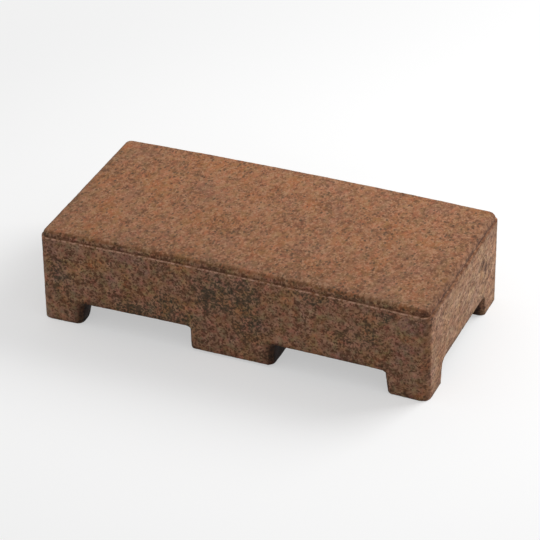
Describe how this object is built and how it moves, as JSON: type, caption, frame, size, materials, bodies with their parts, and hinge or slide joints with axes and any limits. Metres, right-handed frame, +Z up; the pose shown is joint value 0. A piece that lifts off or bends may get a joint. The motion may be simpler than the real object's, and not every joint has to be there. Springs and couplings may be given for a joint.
{
  "type": "composite paver",
  "caption": "Moulded composite paving block with a rounded top edge, a fine parting-line lip and short feet at its corners and long sides.",
  "frame": {"origin": "middle of the base, at floor level", "axes": "+X along the length, +Y across the width, +Z up through the paving face"},
  "size_m": [0.2, 0.1, 0.0493],
  "materials": {
    "composite": "rough moulded composite, terracotta brown with dark olive and black specks"
  },
  "bodies": {
    "root": {"paver": "composite"}
  },
  "joints": []
}
